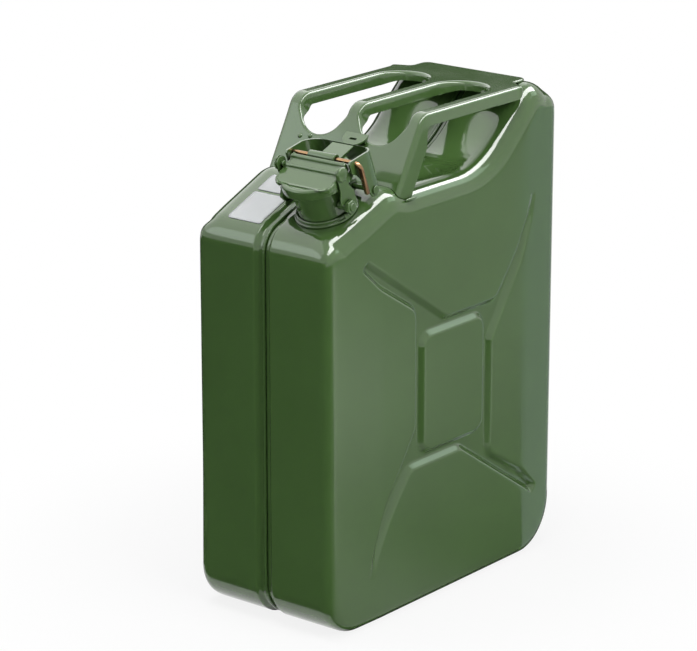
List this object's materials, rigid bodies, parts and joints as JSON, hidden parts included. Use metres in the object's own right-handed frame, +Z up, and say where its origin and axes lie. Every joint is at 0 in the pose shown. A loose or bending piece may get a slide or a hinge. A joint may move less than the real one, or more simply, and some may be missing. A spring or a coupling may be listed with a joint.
{
  "type": "jerry can",
  "caption": "Upright pressed steel fuel can with a recessed middle seam, a handle of parallel bars, and a spout closed by a lever cap that hinges back and is held by a wire pin.",
  "frame": {"origin": "under the middle of the can, on the surface that it stands on", "axes": "+Z up, +X towards the high rear end away from the spout, +Y across the can's depth towards the half without the spout"},
  "size_m": [0.345, 0.165, 0.47],
  "materials": {
    "spout_half_shell": "gloss olive green paint on steel",
    "plain_half_shell": "gloss olive green paint on steel",
    "seam_weld": "gloss olive green paint on steel",
    "neck_tube": "gloss olive green paint on steel",
    "neck_collar": "gloss olive green paint on steel",
    "breather_tube": "drawn steel tube, unpainted",
    "neck_stud_near": "gloss olive green paint on steel",
    "neck_stud_far": "gloss olive green paint on steel",
    "hinge_knuckle": "gloss olive green paint on steel",
    "hinge_pin": "gloss olive green paint on steel",
    "handle_rear_plate": "gloss olive green paint on steel",
    "handle_bar_near": "gloss olive green paint on steel",
    "handle_bar_middle": "gloss olive green paint on steel",
    "handle_bar_far": "gloss olive green paint on steel",
    "handle_front_plate": "gloss olive green paint on steel",
    "leg_weld_near": "gloss olive green paint on steel",
    "leg_weld_far": "gloss olive green paint on steel",
    "hold_open_catch": "gloss olive green paint on steel",
    "shoulder_label": "white printed film, left bare",
    "yoke_strap": "gloss olive green paint on steel",
    "yoke_tongue": "gloss olive green paint on steel",
    "cap_disc": "gloss olive green paint on steel",
    "cap_gasket": "black rubber, matt",
    "cap_rivet": "gloss olive green paint on steel",
    "thumb_lever": "gloss olive green paint on steel",
    "lever_barrel": "gloss olive green paint on steel",
    "cam_cheek_near": "gloss olive green paint on steel",
    "cam_cheek_far": "gloss olive green paint on steel",
    "cheek_rivet_near": "gloss olive green paint on steel",
    "cheek_rivet_far": "gloss olive green paint on steel",
    "locking_pin": "yellow passivated wire"
  },
  "bodies": {
    "can": {"spout_half_shell": "spout_half_shell", "plain_half_shell": "plain_half_shell", "seam_weld": "seam_weld", "neck_tube": "neck_tube", "neck_collar": "neck_collar", "breather_tube": "breather_tube", "neck_stud_near": "neck_stud_near", "neck_stud_far": "neck_stud_far", "hinge_knuckle": "hinge_knuckle", "hinge_pin": "hinge_pin", "handle_rear_plate": "handle_rear_plate", "handle_bar_near": "handle_bar_near", "handle_bar_middle": "handle_bar_middle", "handle_bar_far": "handle_bar_far", "handle_front_plate": "handle_front_plate", "leg_weld_near": "leg_weld_near", "leg_weld_far": "leg_weld_far", "hold_open_catch": "hold_open_catch", "shoulder_label": "shoulder_label"},
    "yoke": {"yoke_strap": "yoke_strap", "yoke_tongue": "yoke_tongue", "cap_disc": "cap_disc", "cap_gasket": "cap_gasket", "cap_rivet": "cap_rivet"},
    "lever": {"thumb_lever": "thumb_lever", "lever_barrel": "lever_barrel", "cam_cheek_near": "cam_cheek_near", "cam_cheek_far": "cam_cheek_far", "cheek_rivet_near": "cheek_rivet_near", "cheek_rivet_far": "cheek_rivet_far"},
    "pin": {"locking_pin": "locking_pin"}
  },
  "joints": [
    {"name": "yoke_swing", "type": "hinge", "parent": "can", "child": "yoke", "pos_m": [-0.10304, -0.038, 0.41359], "axis": [0, 1, 0], "range_deg": [0, 60]},
    {"name": "lever_lift", "type": "hinge", "parent": "yoke", "child": "lever", "pos_m": [-0.13072, -0.038, 0.44339], "axis": [0, 1, 0], "range_deg": [0, 100]},
    {"name": "pin_slide", "type": "slide", "parent": "yoke", "child": "pin", "axis": [0, -1, 0], "range_m": [0, 0.025]}
  ]
}
